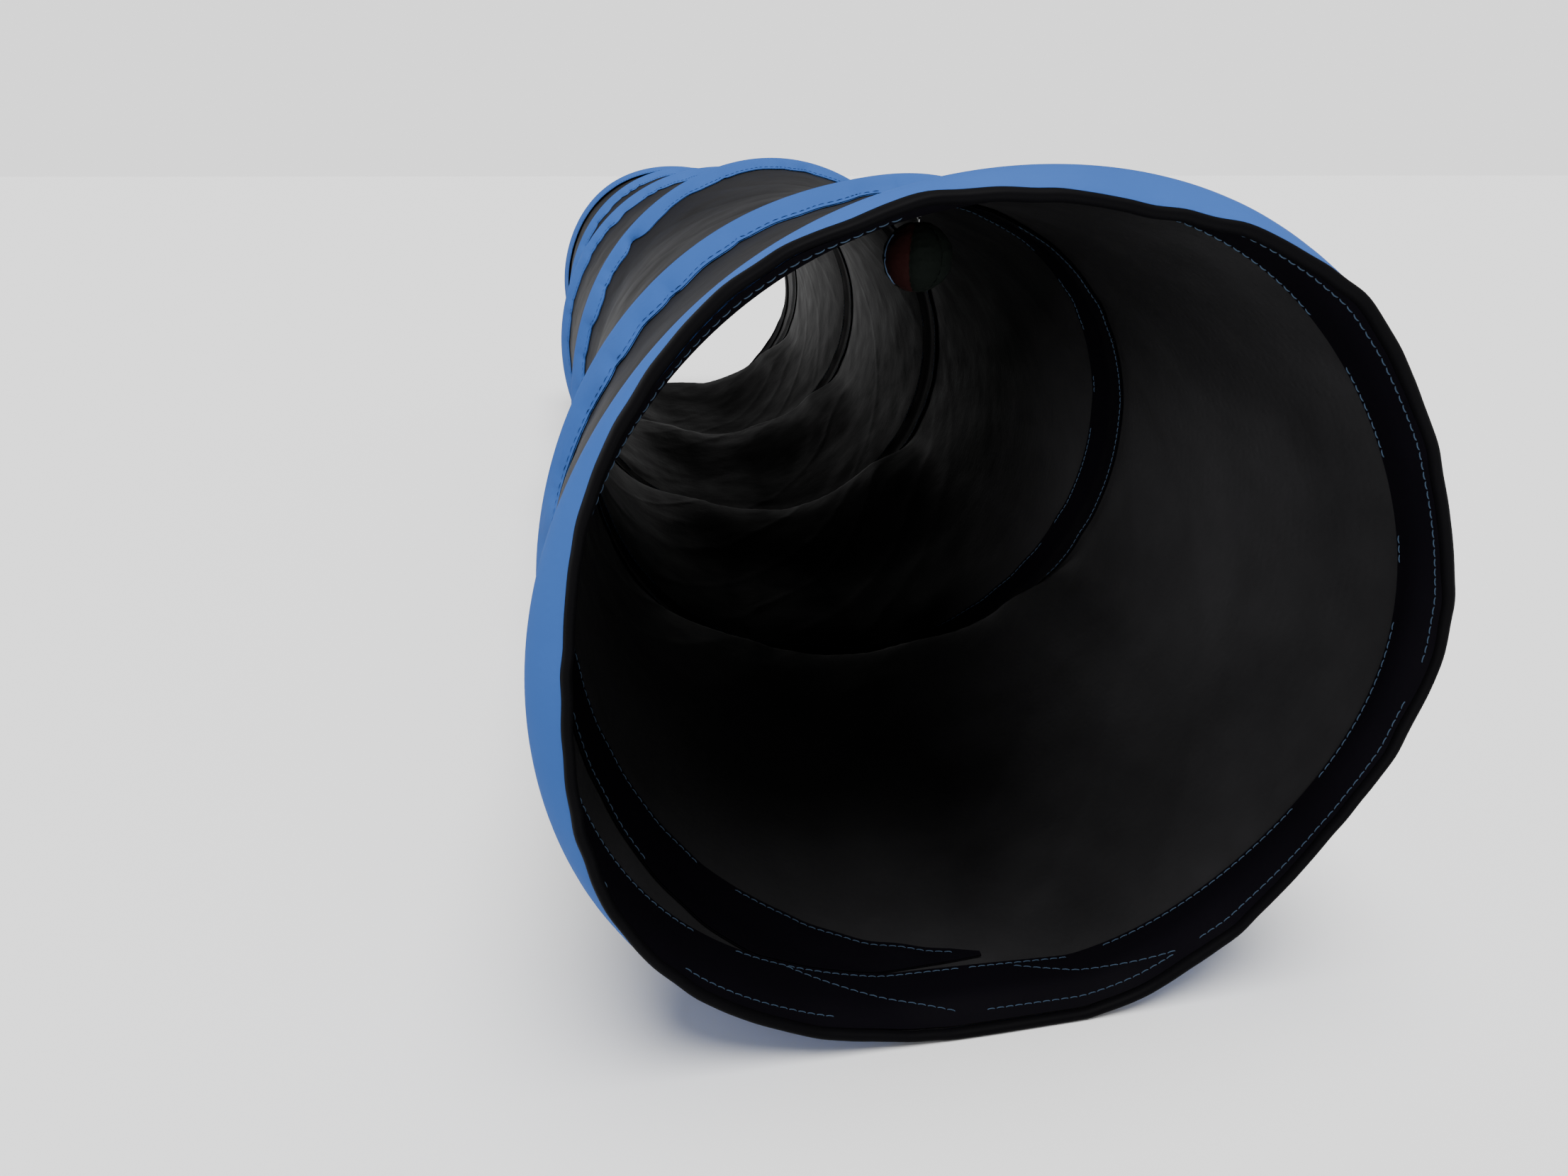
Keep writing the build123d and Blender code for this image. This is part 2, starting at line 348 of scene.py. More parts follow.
def stitches(name, lines, used):
    """Dashes of thread along lines of (points, outward directions)."""
    stations = np.array([-0.5, -0.3, 0, 0.3, 0.5])
    height = np.array([-0.5, 0.35, 0.6, 0.35, -0.5])
    turns = np.linspace(0, 2 * math.pi, 5, endpoint=False)
    verts = []
    for points, out in lines:
        step = np.linalg.norm(np.diff(points, axis=0), axis=1)
        run = np.concatenate([[0], np.cumsum(step)])
        middles = np.arange(STITCH_PITCH, run[-1] - STITCH_PITCH / 2, STITCH_PITCH)
        sunk = lattice(middles / (22 * MM), 0 * middles, 64, 11 + len(verts))
        middles = middles[sunk > -0.6]
        at = middles[:, None] + stations[None, :] * STITCH
        spine = np.stack([np.interp(at, run, points[:, k]) for k in range(3)], axis=-1)
        lift = np.stack([np.interp(at, run, out[:, k]) for k in range(3)], axis=-1)
        spine = spine + lift * (height * THREAD_SIZE)[None, :, None]
        way = np.gradient(spine, axis=1)
        way /= np.linalg.norm(way, axis=-1, keepdims=True)
        side = np.cross(way, lift)
        side /= np.linalg.norm(side, axis=-1, keepdims=True)
        up = np.cross(side, way)
        ring = np.cos(turns)[:, None] * side[:, :, None] + np.sin(turns)[:, None] * up[:, :, None]
        verts.append((spine[:, :, None] + ring * THREAD_SIZE / 2).reshape(-1, 25, 3))
    verts = np.concatenate(verts)
    pattern = np.array(grid_faces(5, 5, False, True))
    faces = (pattern[None] + 25 * np.arange(len(verts))[:, None, None]).reshape(-1, 4)
    return new_object(name, verts, faces.tolist(), used)


# ---------------------------------------------------------------- materials
def material(name, colour, roughness, gloss=0.5, **sockets):
    made = bpy.data.materials.new(name)
    made.use_nodes = True
    nodes, links = made.node_tree.nodes, made.node_tree.links
    shader = nodes["Principled BSDF"]
    shader.inputs["Base Color"].default_value = (*colour, 1)
    shader.inputs["Roughness"].default_value = roughness
    shader.inputs["Specular IOR Level"].default_value = gloss
    for socket, value in sockets.items():
        shader.inputs[socket.replace("_", " ")].default_value = value
    return made, nodes, links, shader


def noise_node(nodes, links, where, scale, detail=2, kind="FBM"):
    texture = nodes.new("ShaderNodeTexNoise")
    texture.noise_type = kind
    texture.inputs["Scale"].default_value = scale
    texture.inputs["Detail"].default_value = detail
    links.new(where, texture.inputs["Vector"])
    return texture.outputs["Fac"]


def bump_node(nodes, links, height, strength, distance, onto):
    bump = nodes.new("ShaderNodeBump")
    bump.inputs["Strength"].default_value = strength
    bump.inputs["Distance"].default_value = distance
    links.new(height, bump.inputs["Height"])
    links.new(bump.outputs["Normal"], onto)
    return bump.inputs["Normal"]


WEAR = 0.08


def woven(nodes, links, where, weave):
    """The height of threads that cross in all three directions."""
    height = None
    for axis in ("X", "Y", "Z"):
        thread = nodes.new("ShaderNodeTexWave")
        thread.bands_direction = axis
        thread.inputs["Scale"].default_value = 1 / weave / 20
        thread.inputs["Distortion"].default_value = 0.6
        links.new(where, thread.inputs["Vector"])
        if height is None:
            height = thread.outputs["Fac"]
            continue
        crossed = nodes.new("ShaderNodeMath")
        crossed.operation = "MULTIPLY"
        links.new(height, crossed.inputs[0])
        links.new(thread.outputs["Fac"], crossed.inputs[1])
        height = crossed.outputs[0]
    return height


def cloth(name, colour, dark, roughness, weave=0.5 * MM, bump=0.25, crumple=0.0, gloss=0.5):
    """A woven cloth, with lighter and darker patches at random, which on the black taffeta are painted sheen,
    and, if asked, fine creases.
    """
    made, nodes, links, shader = material(name, colour, roughness, gloss)
    where = nodes.new("ShaderNodeTexCoord").outputs["Object"]
    # painted sheen: noise patches mix the colour with its darker patch colour
    mix = nodes.new("ShaderNodeMixRGB")
    mix.inputs["Color1"].default_value = (*dark, 1)
    mix.inputs["Color2"].default_value = (*colour, 1)
    tone_and_sheen_patches = nodes.new("ShaderNodeMapRange")
    tone_and_sheen_patches.inputs["From Min"].default_value = 0.3
    tone_and_sheen_patches.inputs["From Max"].default_value = 0.7
    links.new(noise_node(nodes, links, where, 14, 6), tone_and_sheen_patches.inputs["Value"])
    links.new(tone_and_sheen_patches.outputs["Result"], mix.inputs["Fac"])
    links.new(mix.outputs["Color"], shader.inputs["Base Color"])
    wear = nodes.new("ShaderNodeMapRange")
    wear.inputs["To Min"].default_value = roughness - WEAR
    wear.inputs["To Max"].default_value = roughness + WEAR
    links.new(noise_node(nodes, links, where, 60, 3), wear.inputs["Value"])
    links.new(wear.outputs["Result"], shader.inputs["Roughness"])
    height = woven(nodes, links, where, weave)
    onto = bump_node(nodes, links, height, bump, 0.15 * MM, shader.inputs["Normal"])
    if crumple:
        ridges = noise_node(nodes, links, where, 24, 4, "RIDGED_MULTIFRACTAL")
        onto = bump_node(nodes, links, ridges, crumple, 2.0 * MM, onto)
        soft = noise_node(nodes, links, where, 90, 3)
        bump_node(nodes, links, soft, crumple * 0.7, 0.6 * MM, onto)
    return made


def metal(name, colour, roughness):
    made, nodes, links, shader = material(name, colour, roughness, Metallic=1.0)
    where = nodes.new("ShaderNodeTexCoord").outputs["Object"]
    span = nodes.new("ShaderNodeMapRange")
    span.inputs["To Min"].default_value = roughness * 0.7
    span.inputs["To Max"].default_value = min(1, roughness * 1.5)
    links.new(noise_node(nodes, links, where, 900), span.inputs["Value"])
    links.new(span.outputs["Result"], shader.inputs["Roughness"])
    bump_node(nodes, links, noise_node(nodes, links, where, 1400), 0.1, 0.05 * MM, shader.inputs["Normal"])
    return made


# each cloth has its colour and the colour of its darker patches; on the black taffeta these patches are
# painted sheen
BLACK = cloth(
    "black_taffeta", (0.0175, 0.0172, 0.0182), (0.0085, 0.0083, 0.0089), 0.6, crumple=1.0, gloss=0.06
)
BLUE = cloth("blue_sleeve", (0.036, 0.102, 0.33), (0.031, 0.088, 0.29), 0.75, bump=0.35, gloss=0.05)
LIP_BLACK = cloth(
    "black_binding", (0.0024, 0.0023, 0.0029), (0.0016, 0.0015, 0.0019), 0.6, gloss=0.03
)
# the tapes are real pieces, but their very dark purple colour is painted shade: the shadow of the opaque blue
# sleeves seen through the thin skin
TAPE_BLACK_PAINTED_SHADE = cloth("seam_tape", (0.0022, 0.0018, 0.0032), (0.0016, 0.0013, 0.0023), 0.7, gloss=0.03)
THREAD = cloth(
    "blue_thread", (0.036, 0.060, 0.095), (0.024, 0.042, 0.070), 0.6, weave=0.2 * MM, gloss=0.1
)
BLUE_THREAD = cloth(
    "sleeve_thread", (0.034, 0.096, 0.31), (0.029, 0.083, 0.27), 0.6, weave=0.2 * MM, gloss=0.1
)
STEEL = metal("spring_steel", (0.5, 0.5, 0.51), 0.35)
CRIMP = metal("crimped_tube", (0.7, 0.71, 0.73), 0.3)
RING = metal("toy_wire", (0.6, 0.6, 0.6), 0.25)
rough_weave = {"weave": 0.35 * MM, "bump": 0.8, "gloss": 0.2}
FELT = cloth("toy_felt", (0.0035, 0.0065, 0.0045), (0.0022, 0.0042, 0.003), 0.9, **rough_weave)
RED_FELT = cloth("toy_red_felt", (0.022, 0.003, 0.0025), (0.015, 0.0022, 0.002), 0.9, **rough_weave)
# pale-blue piping colour: a painted highlight on the toy ball
PIPING_AS_HIGHLIGHT = cloth("toy_piping_highlight", (0.12, 0.2, 0.36), (0.09, 0.16, 0.3), 0.5, weave=0.3 * MM)
WEBBING = cloth(
    "strap_webbing", (0.012, 0.012, 0.014), (0.008, 0.008, 0.0095), 0.8, weave=0.9 * MM, bump=0.8, gloss=0.2
)
HOOKS = cloth(
    "hook_tape", (0.008, 0.008, 0.009), (0.0055, 0.0055, 0.006), 0.9, weave=0.7 * MM, bump=1.0, gloss=0.2
)

# ---------------------------------------------------------------- the coil's turns
BODIES = ("front_end", "turn_2", "turn_3", "turn_4")


def folds_with(piece, turn, node=None):
    """A piece of one turn rides on the body at its near end."""
    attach(piece, BODIES[turn])
    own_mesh(piece)
    if node:
        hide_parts(node)
    return piece


def padded_steps(low, high, count):
    """Evenly spaced values with one more beyond each end."""
    step = (high - low) / (count - 1)
    return np.linspace(low - step, high + step, count + 2)


def closed_steps(count):
    """Travels round a closed ring, with one more beyond each end."""
    return np.arange(-1, count + 1) * 360 / count


def skin(turn):
    travel = closed_steps(STEPS)[:, None]
    along = padded_steps(COIL_START + PITCH * turn, COIL_START + PITCH * (turn + 1), 96)[None, :]
    piece = shell(f"skin_{turn + 1}", skin_place(travel, along), BLACK, closed=True)
    folds_with(piece, turn, f"skin_turn_{turn + 1}")


RUN_ON = 12


def band_grid(turn, half, margin, columns):
    """Travels and shares across a band on the coil, cut back where it meets an end's own band.

    The band runs on a few degrees past the coil's two ends, under the ends' bands.
    """
    start = -RUN_ON if turn == 0 else 360 * turn
    end = 360 * TURNS + RUN_ON if turn == TURNS - 1 else 360 * turn + 360
    travel = padded_steps(start, end, STEPS + 1)
    low = np.maximum(-1, (margin - coil_along(travel)) / half)
    high = np.minimum(1, (LENGTH - margin - coil_along(travel)) / half)
    kept = high - low > 0.05
    travel, low, high = travel[kept, None], low[kept, None], high[kept, None]
    across = low + (high - low) * padded_steps(0, 1, columns)[None, :]
    return travel, across


NEAR_SCALLOPS = 4.0 * MM
FAR_SCALLOPS = 2.4 * MM
NOTCH_TRAVEL, NOTCH_HALF, NOTCH_DEPTH = 498.5, 2.2, 5.5 * MM


def sleeve_place(travel, across, lift=0.0):
    """A place on the coil's sleeve, whose edges are scalloped and whose crest is crisp at the wire."""
    near, far = NEAR_SCALLOPS * ruffle(travel, 20), FAR_SCALLOPS * ruffle(travel, 60)
    half = SLEEVE_HALF + np.where(across < 0, near, far)
    notch = np.exp(-(((travel - NOTCH_TRAVEL) / NOTCH_HALF) ** 2)) * np.clip(-across, 0, 1)
    half = half - NOTCH_DEPTH * notch
    along = coil_along(travel) + across * half
    ends = np.clip(along, HOOP_SLEEVE_END - 2 * MM, LENGTH - HOOP_SLEEVE_END + 2 * MM)
    ground = skin_radius(travel, ends) + 0.7 * MM
    rise = np.clip(1 - np.abs(across) ** 1.2, 0, 1)
    puff = noise(travel, across, 16 * MM, 0.9, 24, TURNS) * 0.4 * MM
    puff = puff * np.clip(1.2 - np.abs(np.abs(across) - 0.65) * 3, 0, 1)
    base = ground + (ROOF - ground) * rise + puff + lift
    return place(travel, along, base + warp(travel, along), base)


def coil_sleeve(turn):
    travel, across = band_grid(turn, SLEEVE_HALF, HOOP_SLEEVE_END - 1 * MM, 25)
    piece = shell(f"coil_sleeve_{turn + 1}", sleeve_place(travel, across), BLUE)
    folds_with(piece, turn, f"sleeve_turn_{turn + 1}")


def tape_place(travel, across, lift=0.0):
    """A place on the tape that covers the seam inside the tunnel."""
    along = coil_along(travel) + across * TAPE_HALF
    inside = np.clip(along, FACING_END, LENGTH - FACING_END)
    base = np.minimum(skin_radius(travel, inside), SKIN) - 1.2 * MM - lift
    return place(travel, along, base + warp(travel, along), base)


def seam_tape(turn):
    travel, across = band_grid(turn, TAPE_HALF, FACING_END, 11)
    piece = shell(f"seam_tape_{turn + 1}", tape_place(travel, across), TAPE_BLACK_PAINTED_SHADE, thickness=TAPE_CLOTH)
    folds_with(piece, turn, f"inner_strip_turn_{turn + 1}")


def line_on(surface, travel, across, lift):
    """Points of a line on a band, and the ways out of the cloth."""
    points = surface(travel, np.full_like(travel, across), lift)
    outward = surface(travel, np.full_like(travel, across), lift + 1 * MM) - points
    return points, outward / np.linalg.norm(outward, axis=-1, keepdims=True)


def travel_at(along, across, half):
    """The travel at which a line on one of the coil's bands gets this far along the tunnel."""
    return (along - COIL_START - across * half) / PITCH * 360


def line_travels(turn, across, half, margin):
    """The travels of one turn of a line, cut back to clear both ends by this margin."""
    start = max(360 * turn, travel_at(margin, across, half))
    end = min(360 * turn + 360, travel_at(LENGTH - margin, across, half))
    return np.linspace(start, end, 1200)


TAPE_LINES = (-0.88, 0.88)
SLEEVE_LINES = (-0.9, 0.9)


def turn_stitches(turn):
    inner, outer = [], []
    for across in TAPE_LINES:
        travel = line_travels(turn, across, TAPE_HALF, FACING_END + 1 * MM)
        inner.append(line_on(tape_place, travel, across, TAPE_CLOTH / 2))
    for across in SLEEVE_LINES:
        travel = line_travels(turn, across, SLEEVE_HALF, HOOP_SLEEVE_END)
        outer.append(line_on(sleeve_place, travel, across, CLOTH / 2))
    folds_with(stitches(f"tape_stitches_{turn + 1}", inner, THREAD), turn)
    folds_with(stitches(f"sleeve_stitches_{turn + 1}", outer, BLUE_THREAD), turn)


def coil_wire(turn):
    tail = math.degrees(math.asin(ferrule_hi.x / WIRE_RADIUS))
    start = -tail if turn == 0 else 360 * turn
    end = 360 * TURNS + tail if turn == TURNS - 1 else 360 * turn + 360
    travel = np.linspace(start, end, 300)
    along = coil_along(np.clip(travel, 0, 360 * TURNS))
    radius = WIRE_RADIUS + warp(travel, along)
    path = place(travel, along, radius, WIRE_RADIUS)
    folds_with(tube(f"coil_wire_{turn + 1}", path, WIRE, STEEL), turn, f"wire_turn_{turn + 1}")


# ---------------------------------------------------------------- the ends
LIP_SIZE = 2.7 * MM
LIP_DEPTH = 3.1 * MM
LIP_LEAN = 2.0 * MM
FACING_START = 1.6 * MM
FACING_TRIM = 10 * MM
TRIM_TRAVEL, TRIM_HALF = 285, 62
SLEEVE_START = 1.4 * MM
CREST_SHARE = 0.42
FACING_LINES = (0.14, 0.94)
HOOP_SLEEVE_LINE = 0.93


class End:
    """The pieces of one end. The far end is the mouth's, turned half round, and bent in its own way."""

    def __init__(self, rear):
        self.rear = rear
        self.side = "rear" if rear else "front"
        self.body = "rear_end" if rear else "front_end"

    def lip(self, travel):
        """The outer radius of the lip."""
        waves = LIP_WAVES
        if self.rear:
            waves = tuple((FAR_BEND * size, phase + 200) for size, phase in LIP_WAVES)
        ripple = noise(travel, 0.0, 17 * MM, 1, 70) * 0.7 + noise(travel, 0.0, 8 * MM, 1, 71) * 0.35
        return LIP_RADIUS + wavy(travel, waves) + MM * ripple

    def wide_lip(self, travel):
        """The binding is widest at the upper left."""
        return hill(travel, 138, 42)

    def own(self, travel, along):
        """The tunnel's travel and along for a place given from this end."""
        return (-travel, LENGTH - along) if self.rear else (travel, along)

    def spot(self, travel, along, radius, rests):
        travel, along = self.own(travel, along)
        return place(travel, along, radius, rests)

    def layer(self, travel, along, base, inward, rise=1.0):
        """A layer that runs from inside the lip's roll to its own radius at the hoop."""
        own_travel, own_along = self.own(travel, along)
        share = np.clip((along - 1 * MM) / (HOOP - 1 * MM), 0, 1)
        share = np.sin(share * math.pi / 2) ** rise
        start = self.lip(travel) - inward
        radius = start + (base + warp(own_travel, own_along) - start) * share
        rests = (ROOF - inward) + (base - (ROOF - inward)) * share
        return self.spot(travel, along, radius, rests)

    def finish(self, piece, node=None):
        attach(piece, self.body)
        if node:
            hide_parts(f"{self.side}_{node}")
        return piece

    def sheet(self, name, points, used, node, thickness=CLOTH):
        piece = shell(f"{self.side}_{name}", points, used, closed=True, thickness=thickness)
        self.finish(piece, node)

    def sleeve_place(self, travel, share, lift=0.0):
        """The hoop's sleeve: a cone from the lip to the crest, then down to a wandering seam."""
        front = smooth(share / CREST_SHARE)
        edge = HOOP_SLEEVE_END + MM * 1.1 * ruffle(travel, 30) - 0.8 * MM
        back = np.clip((share - CREST_SHARE) / (1 - CREST_SHARE), 0, 1)
        along = SLEEVE_START + (HOOP - SLEEVE_START) * front + (edge - HOOP) * back
        ground = SKIN + 0.8 * MM
        base = ROOF - (ROOF - ground) * back**1.2 + lift
        tucked = 0.7 * MM - 1.8 * MM * hill(travel, 305, 40) + 2.2 * MM * self.wide_lip(travel)
        return self.layer(travel, along, base, tucked - lift, 0.85)

    def facing_place(self, travel, share, lift=0.0):
        """The tape inside the lip. It was sewn on askew, and is narrowest at the lower right."""
        narrow = FACING_TRIM * hill(travel, TRIM_TRAVEL, TRIM_HALF)
        along = FACING_START + (FACING_END - narrow - FACING_START) * share
        base = TAPE + 0.1 * MM - lift
        return self.layer(travel, along, base, LIP_SIZE - 0.7 * MM + lift)

    def build(self):
        travel = closed_steps(STEPS)[:, None]
        share = padded_steps(0.02, 1, 26)[None, :]
        self.sheet("sleeve_cloth", self.sleeve_place(travel, share), BLUE, "hoop_sleeve")
        facing = self.facing_place(travel, padded_steps(0, 1, 14)[None, :])
        self.sheet(
            "facing_tape", facing, TAPE_BLACK_PAINTED_SHADE, "facing", thickness=TAPE_CLOTH,
        )
        along = padded_steps(1.6 * MM, COIL_START, 8)[None, :]
        cuff = self.layer(travel, along, SKIN, 1.9 * MM)
        self.sheet("cuff_cloth", cuff, BLACK, "cuff")
        self.binding(travel)
        self.threads()
        self.wire()

    def binding(self, travel):
        """The lip's binding, folded over the raw edges."""
        angle = padded_steps(-0.35 * math.pi, 1.35 * math.pi, 15)[None, :]
        plump = 1 + 0.12 * noise(travel, 0.0, 24 * MM, 1, 72)
        lean = 0 if self.rear else LIP_LEAN * hill(travel, 0, 50)
        depth = LIP_DEPTH * (0.55 + 0.75 * self.wide_lip(travel))
        along = depth - depth * plump * np.sin(angle) - lean
        radius = self.lip(travel) - LIP_SIZE / 2 + LIP_SIZE / 2 * plump * np.cos(angle)
        points = self.spot(travel, along, radius, ROOF - LIP_SIZE / 2 + LIP_SIZE / 2 * np.cos(angle))
        self.sheet("lip_cloth", points, LIP_BLACK, "lip_binding")

    def threads(self):
        """Two rows round the facing, one round the sleeve, and the coil's tape sewn on across the facing."""
        travel = np.linspace(0, 360, 1600)
        inner = [line_on(self.facing_place, travel, share, TAPE_CLOTH / 2) for share in FACING_LINES]
        outer = [line_on(self.sleeve_place, travel, HOOP_SLEEVE_LINE, CLOTH / 2)]
        for across in TAPE_LINES:
            start = travel_at(5 * MM, across, TAPE_HALF)
            end = travel_at(FACING_END - 1 * MM, across, TAPE_HALF)
            crossing = np.linspace(start, end, 200)
            share = (coil_along(crossing) + across * TAPE_HALF - FACING_START) / (FACING_END - FACING_START)
            points = self.facing_place(crossing, share, TAPE_CLOTH / 2)
            outward = self.facing_place(crossing, share, TAPE_CLOTH / 2 + 1 * MM) - points
            inner.append((points, outward / np.linalg.norm(outward, axis=-1, keepdims=True)))
        self.finish(stitches(f"{self.side}_facing_stitches", inner, THREAD))
        self.finish(stitches(f"{self.side}_sleeve_stitches", outer, BLUE_THREAD))

    def wire(self):
        travel = np.linspace(0, 360, 300, endpoint=False)
        own_travel, own_along = self.own(travel, HOOP)
        radius = WIRE_RADIUS + warp(own_travel, own_along)
        path = self.spot(travel, HOOP, radius, WIRE_RADIUS)
        made = tube(f"{self.side}_hoop", path, WIRE, STEEL, closed=True)
        self.finish(made, "hoop_wire")


for number in range(TURNS):
    skin(number)
    coil_sleeve(number)
    seam_tape(number)
    turn_stitches(number)
    coil_wire(number)
End(rear=False).build()
End(rear=True).build()


# ---------------------------------------------------------------- toy and straps
RED_GORE = 3


def toy_ball():
    """A stuffed felt ball of six gores, one of them red, with pale-blue piping on one seam; the piping is a
    painted highlight, the bright arc on the ball's left.
    """
    middle, size = (ball_lo + ball_hi) / 2, (ball_hi.x - ball_lo.x) / 2
    gores, round_steps, up_steps = 6, 96, 48
    lon = np.linspace(0, 2 * math.pi, round_steps, endpoint=False)[None, :]
    lat = np.linspace(-0.995, 0.995, up_steps)[:, None] * math.pi / 2
    seam = np.abs(np.sin(lon * gores / 2))
    crown = size * (0.93 + 0.07 * seam**0.5 * np.cos(lat) ** 0.5)
    crown = crown + lattice(lon * 12 / math.pi, lat * 9, 24, 81) * 0.25 * MM
    x, y = crown * np.cos(lat) * np.cos(lon), crown * np.cos(lat) * np.sin(lon)
    points = np.stack([x, y, crown * np.sin(lat) + 0 * lon], axis=-1) + np.array(middle)
    faces = grid_faces(up_steps, round_steps, False, True)
    last = (up_steps - 1) * round_steps
    faces += [tuple(reversed(range(round_steps))), tuple(range(last, last + round_steps))]
    ball = new_object("toy_felt_ball", points, faces, FELT)
    ball.data.materials.append(RED_FELT)
    for polygon in ball.data.polygons:
        offset = polygon.center - middle
        gore = int((math.atan2(offset.y, offset.x) % (2 * math.pi)) / (2 * math.pi) * gores)
        polygon.material_index = 1 if gore == RED_GORE else 0
    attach(ball, "toy_hanging_ball")
    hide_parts("toy_ball")
    bands = []
    for gore in range(gores):
        angle = 2 * math.pi * gore / gores
        rise = np.linspace(-1.45, 1.45, 40)
        flat = np.cos(rise)
        out = np.stack([flat * math.cos(angle), flat * math.sin(angle), np.sin(rise)], axis=-1)
        points = out * size * 0.945 + np.array(middle)
        # painted highlight: the pale-blue piping on the red gore's seam sits where the ball shows a bright
        # arc
        if gore == RED_GORE:
            highlight_piping = tube("toy_piping_highlight", points[8:30], 0.9 * MM, PIPING_AS_HIGHLIGHT)
            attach(highlight_piping, "toy_hanging_ball")
        bands.append((points, out))
    seam_thread = stitches("toy_seams", bands, FELT)
    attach(seam_thread, "toy_hanging_ball")


def toy_tab():
    """The tape loop that the ring hangs from."""
    middle, size = (tab_lo + tab_hi) / 2, tab_hi - tab_lo
    angle = np.linspace(0, 2 * math.pi, 49)[:-1]
    angle = np.concatenate([angle[-1:], angle, angle[:1]])[:, None]
    across = padded_steps(-0.5, 0.5, 7)[None, :]
    square = (np.abs(np.cos(angle)) ** 4 + np.abs(np.sin(angle)) ** 4) ** -0.25
    reach = 1 - 0.35 * MM / size.y
    y = middle.y + size.y / 2 * reach * square * np.cos(angle) + 0 * across
    z = middle.z + size.z / 2 * reach * square * np.sin(angle) + 0 * across
    x = middle.x + across * size.x * (1 - 0.06 * np.cos(angle) ** 2)
    loop = shell("toy_tape_loop", np.stack(np.broadcast_arrays(x, y, z), axis=-1), TAPE_BLACK_PAINTED_SHADE, closed=True)
    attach(loop, "toy_mount")
    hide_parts("toy_tab")


def strap_piece(node, seed, used, wave_share):
    """A flat webbing piece with rounded corners, a faint wave and a row of stitches near each edge."""
    corners = np.array([v.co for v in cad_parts[node].data.vertices])
    middle = corners.mean(axis=0)
    along = np.array([0, 1, 0])
    out = middle - np.array([0, middle[1], AXIS])
    out /= np.linalg.norm(out)
    side = np.cross(out, along)
    half = [((corners - middle) @ way).max() for way in (side, along, out)]
    run = padded_steps(-1, 1, 61)[:, None]
    across = padded_steps(-1, 1, 11)[None, :]
    wave = lattice(run * 3 + 4, across * 0.8 + 2, 64, seed) * 0.18 * MM * wave_share
    rounded = 1 - 0.02 * np.abs(across) ** 6
    body = middle + side * (across * half[0])[..., None]
    body = body + along * (run * half[1] * rounded)[..., None] + out * wave[..., None]
    piece = shell(node + "_cloth", body, used, thickness=1.7 * half[2])
    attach(piece, "rear_end")
    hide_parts(node)
    top = middle + out * half[2] * 0.95
    lengthways = np.linspace(-0.96, 0.96, 200)[:, None]
    crossways = np.linspace(-0.8, 0.8, 60)[:, None]
    lines = [top + side * share * half[0] + along * lengthways * half[1] for share in (-0.82, 0.82)]
    lines += [top + side * crossways * half[0] + along * share * half[1] for share in (-0.95, 0.95)]
    rows = [(points, np.broadcast_to(out, points.shape)) for points in lines]
    sewn = stitches(node + "_stitches", rows, BLUE_THREAD)
    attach(sewn, "rear_end")


def strap(number):
    """A webbing strap with a sewn-on pad of hook tape."""
    strap_piece(f"closing_strap_{number}", 90 + number, WEBBING, 1.0)
    strap_piece(f"strap_hook_pad_{number}", 90 + number, HOOKS, 0.88)


toy_ball()
toy_tab()
strap(1)
strap(2)
for word, used in (("ferrule", CRIMP), ("toy_ring", RING), ("toy_eyelet", RING)):
    for name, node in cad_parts.items():
        if word in name:
            node.data.materials.clear()
            node.data.materials.append(used)


# ---------------------------------------------------------------- stage, lights and camera
def add_floor():
    mesh = bpy.data.meshes.new("floor")
    reach = 60
    corners = [(-reach, -reach, 0), (reach, -reach, 0), (reach, reach, 0), (-reach, reach, 0)]
    mesh.from_pydata(corners, [], [(0, 1, 2, 3)])
    floor = bpy.data.objects.new("floor", mesh)
    bpy.context.scene.collection.objects.link(floor)
    mesh.materials.append(material("pale_floor", (0.9, 0.9, 0.9), 0.9, 0.1)[0])


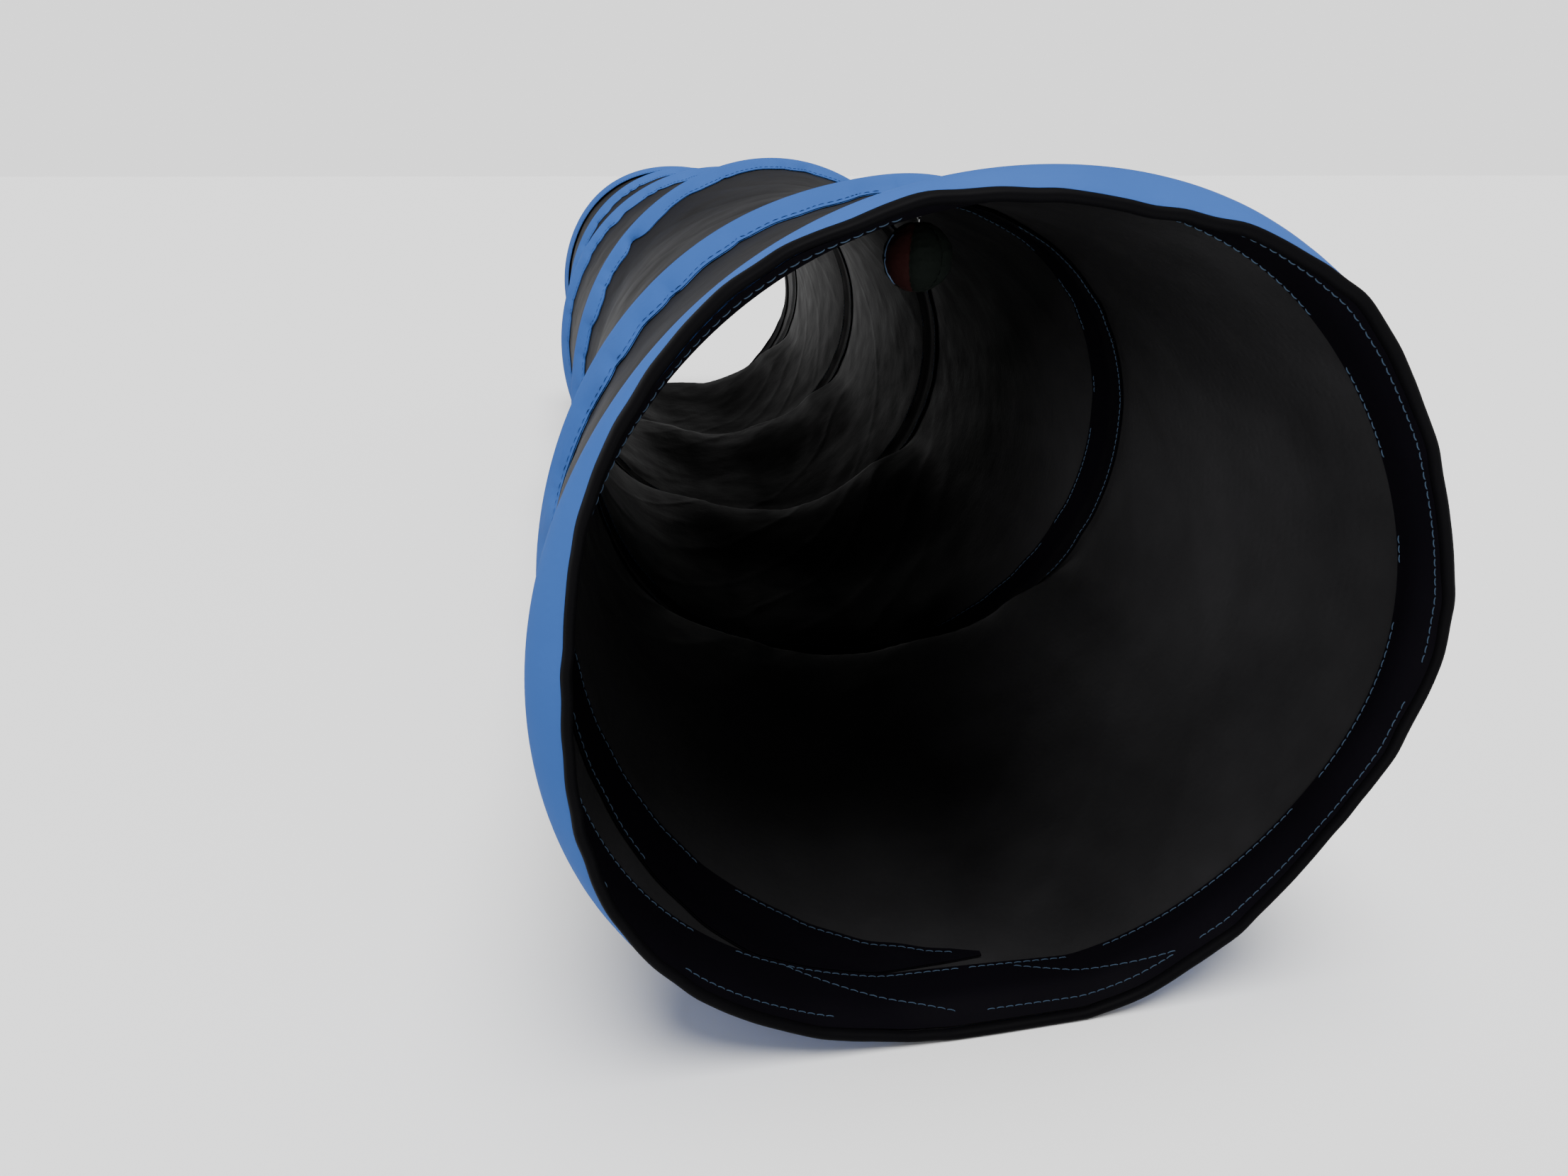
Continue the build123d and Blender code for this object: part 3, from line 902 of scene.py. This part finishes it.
def add_light(kind, name, where, target, power, **settings):
    data = bpy.data.lights.new(name, kind)
    data.energy = power
    for setting, value in settings.items():
        setattr(data, setting, value)
    light = bpy.data.objects.new(name, data)
    light.location = where
    light.rotation_euler = (Vector(target) - Vector(where)).to_track_quat("-Z", "Y").to_euler()
    bpy.context.scene.collection.objects.link(light)


def add_world(horizon, zenith):
    """A studio sky, as bright as the floor at the horizon and dimmer overhead."""
    world = bpy.data.worlds.new("studio")
    bpy.context.scene.world = world
    world.use_nodes = True
    nodes, links = world.node_tree.nodes, world.node_tree.links
    where = nodes.new("ShaderNodeTexCoord").outputs["Generated"]
    parts = nodes.new("ShaderNodeSeparateXYZ")
    links.new(where, parts.inputs["Vector"])
    span = nodes.new("ShaderNodeMapRange")
    span.interpolation_type = "SMOOTHSTEP"
    for socket, value in (("From Min", 0.15), ("From Max", 0.24), ("To Min", horizon), ("To Max", zenith)):
        span.inputs[socket].default_value = value
    links.new(parts.outputs["Z"], span.inputs["Value"])
    links.new(span.outputs["Result"], nodes["Background"].inputs["Strength"])
    nodes["Background"].inputs["Color"].default_value = (1, 1, 1, 1)


add_floor()
add_world(1.6, 0.35)
add_light("SUN", "key", (0.0, -0.14, 0.99), (0, 0, 0), 5.3, angle=math.radians(42))
mouth_light = {"spot_size": math.radians(12.5), "spot_blend": 1.0, "shadow_soft_size": 0.06}
add_light("SPOT", "into_mouth", (-0.62, -1.25, 0.32), (0.12, -0.38, 0.12), 66, **mouth_light)

# the viewpoint, in tunnel radii from the middle of the mouth
EYE = (-0.8527, -1.8131, 1.0062)
TILT, TURN = 67.70, -10.61
LENS = 23.33
UNIT = WIRE_RADIUS
camera_data = bpy.data.cameras.new("camera")
camera_data.lens, camera_data.sensor_width = LENS, 36
camera_data.clip_start = 0.005
camera = bpy.data.objects.new("camera", camera_data)
camera.location = (EYE[0] * UNIT, MOUTH + EYE[1] * UNIT, AXIS + EYE[2] * UNIT)
camera.rotation_euler = (math.radians(TILT), 0, math.radians(TURN))
bpy.context.scene.collection.objects.link(camera)
bpy.context.scene.camera = camera
